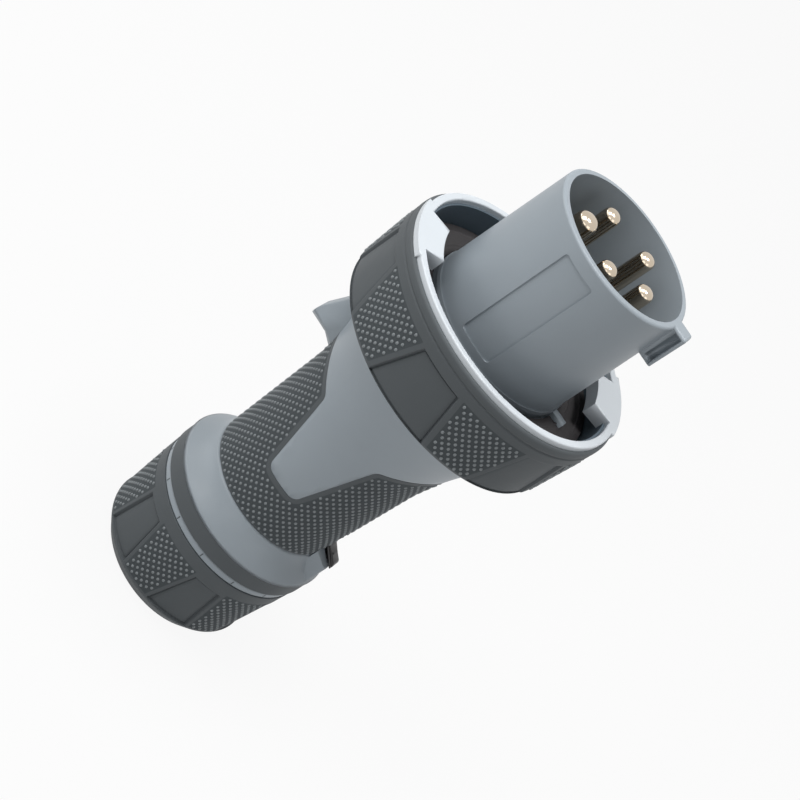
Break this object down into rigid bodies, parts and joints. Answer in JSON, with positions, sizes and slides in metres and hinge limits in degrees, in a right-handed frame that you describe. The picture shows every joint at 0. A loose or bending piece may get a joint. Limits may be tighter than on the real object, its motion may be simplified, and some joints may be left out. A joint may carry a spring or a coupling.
{
  "type": "industrial plug",
  "caption": "Industrial pin-and-sleeve plug: domed contact pins in a keyed round shroud, a rubber-gripped bayonet locking ring, a two-tone handle with a slide lock, and a cable gland nut.",
  "frame": {"origin": "centre of the gland nut's end face, on which the plug stands, on the plug's axis", "axes": "+Z along the plug's axis from the cable end to the contact pins, +X towards the key of the shroud"},
  "size_m": [0.119, 0.119, 0.26],
  "materials": {
    "shell_light": "fine satin moulded polyamide",
    "rim_pale": "fine satin moulded polyamide",
    "grip_dark": "soft matt elastomer",
    "sleeve_dark": "smooth matt elastomer",
    "carrier_dark": "moulded polyamide",
    "slide_black": "moulded polyamide",
    "seal_black": "smooth matt elastomer",
    "washer_white": "slippery acetal",
    "nickel_plate": "bright nickel plate on turned brass",
    "zinc_steel": "bright zinc plate"
  },
  "bodies": {
    "housing": {"carrier_screws": "zinc_steel", "clamp_cage": "carrier_dark", "earth_pin": "nickel_plate", "end_band": "grip_dark", "face_gasket": "seal_black", "front_shroud": "shell_light", "gland_seal": "seal_black", "handle_grip": "grip_dark", "handle_shell": "shell_light", "housing_screws": "zinc_steel", "housing_seal": "seal_black", "line_pin_1": "nickel_plate", "line_pin_2": "nickel_plate", "line_pin_3": "nickel_plate", "neutral_pin": "nickel_plate", "pin_carrier": "shell_light", "shroud_foot": "shell_light", "terminal_block": "carrier_dark", "terminal_screws": "zinc_steel"},
    "locking_ring": {"locking_ring": "rim_pale", "ring_sleeve": "sleeve_dark", "ring_grip": "grip_dark"},
    "lock_slide": {"lock_slide": "slide_black"},
    "slip_washer": {"slip_washer": "washer_white"},
    "gland_nut": {"gland_nut": "rim_pale", "nut_grip": "grip_dark"}
  },
  "joints": [
    {"name": "ring_turn", "type": "hinge", "parent": "housing", "child": "locking_ring", "pos_m": [0, 0, 0.183], "axis": [0, 0, 1], "range_deg": [0, 35]},
    {"name": "slide_lock", "type": "slide", "parent": "housing", "child": "lock_slide", "axis": [0, 0, 1], "range_m": [0, 0.007]},
    {"name": "nut_travel", "type": "slide", "parent": "housing", "child": "slip_washer", "axis": [0, 0, -1], "range_m": [0, 0.012]},
    {"name": "nut_turn", "type": "hinge", "parent": "slip_washer", "child": "gland_nut", "pos_m": [0, 0, 0.03], "axis": [0, 0, -1], "range_deg": [0, 1440]}
  ],
  "couplings": [
    {"joint": "nut_travel", "follows": "nut_turn", "m_per_rad": 0.00047741}
  ]
}
